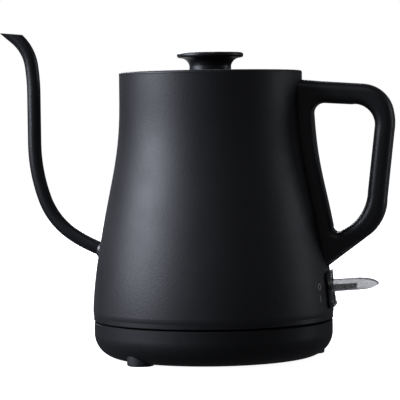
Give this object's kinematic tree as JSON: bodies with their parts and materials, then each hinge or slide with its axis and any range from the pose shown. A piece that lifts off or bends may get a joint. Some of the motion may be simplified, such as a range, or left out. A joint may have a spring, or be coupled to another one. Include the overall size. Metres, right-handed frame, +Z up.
{
  "type": "gooseneck kettle",
  "caption": "Electric pour-over kettle with a tapered body, thin swan-neck spout, loop handle, recessed lid with a disc knob, smoked rocker lever and a separate power base.",
  "frame": {"origin": "on the kettle's vertical axis, level with the undersides of the feet", "axes": "+Z up, -X towards the spout, +X towards the handle and lever, +Y towards the cord inlet at the rear"},
  "size_m": [0.2488, 0.15, 0.2039],
  "materials": {
    "shell_paint": "satin powder coat",
    "spout_paint": "satin powder coat",
    "lid_paint": "satin powder coat",
    "knob_plastic": "fine moulded texture",
    "handle_plastic": "fine moulded texture",
    "base_plastic": "satin moulded",
    "band_plastic": "satin moulded",
    "frame_plastic": "satin gloss",
    "smoke_plastic": "smoked translucent",
    "control_plastic": "glass-filled nylon",
    "tower_plastic": "glass-filled nylon",
    "foot_rubber": "matte",
    "gasket_silicone": "translucent silicone",
    "stainless": "brushed",
    "weld_steel": "painted weld",
    "screw_steel": "zinc plated",
    "aluminium": "milled",
    "element_steel": "heat tinted",
    "brass": "stamped",
    "bimetal": "rolled",
    "lead_insulation": "PVC insulation",
    "mark_ink": "pad-printed ink"
  },
  "bodies": {
    "power_base": {"base_housing": "base_plastic", "base_deck": "base_plastic", "base_screws": "screw_steel", "foot_front": "foot_rubber", "foot_side": "foot_rubber", "foot_rear": "foot_rubber", "contact_tower": "tower_plastic", "tower_contacts": "brass", "tower_screws": "screw_steel", "cord_gland": "foot_rubber", "terminal_block": "control_plastic", "terminal_screws": "brass", "base_leads": "lead_insulation"},
    "kettle": {"body_shell": "shell_paint", "mouth_ring": "shell_paint", "spout_tube": "spout_paint", "spout_collar": "weld_steel", "vessel_floor": "stainless", "steam_tube": "stainless", "heat_spreader": "aluminium", "heating_element": "element_steel", "element_leads": "lead_insulation", "floor_studs": "stainless", "control_body": "control_plastic", "control_screws": "screw_steel", "dry_boil_disc": "bimetal", "kettle_contacts": "brass", "bottom_cover": "band_plastic", "bottom_cover_screws": "screw_steel", "handle_grip": "handle_plastic", "grip_cover": "handle_plastic", "handle_bracket_top": "stainless", "handle_bracket_bottom": "stainless", "handle_screws": "screw_steel", "switch_frame": "frame_plastic", "switch_bezel": "smoke_plastic", "switch_housing": "control_plastic", "steam_disc": "bimetal", "switch_contacts": "tower_plastic", "switch_marks": "mark_ink", "lever_pin": "stainless"},
    "lid": {"lid_cover": "lid_paint", "lid_gasket": "gasket_silicone", "lid_plug": "stainless", "lid_knob": "knob_plastic", "knob_screw": "screw_steel"},
    "lever": {"switch_lever": "smoke_plastic"}
  },
  "joints": [
    {"name": "kettle_lift", "type": "slide", "parent": "power_base", "child": "kettle", "axis": [0, 0, 1], "range_m": [0, 0.06]},
    {"name": "lid_lift", "type": "slide", "parent": "kettle", "child": "lid", "axis": [0, 0, 1], "range_m": [0, 0.04]},
    {"name": "lever_press", "type": "hinge", "parent": "kettle", "child": "lever", "pos_m": [0.051, 0, 0.041], "axis": [0, 1, 0], "range_deg": [0, 15]}
  ]
}
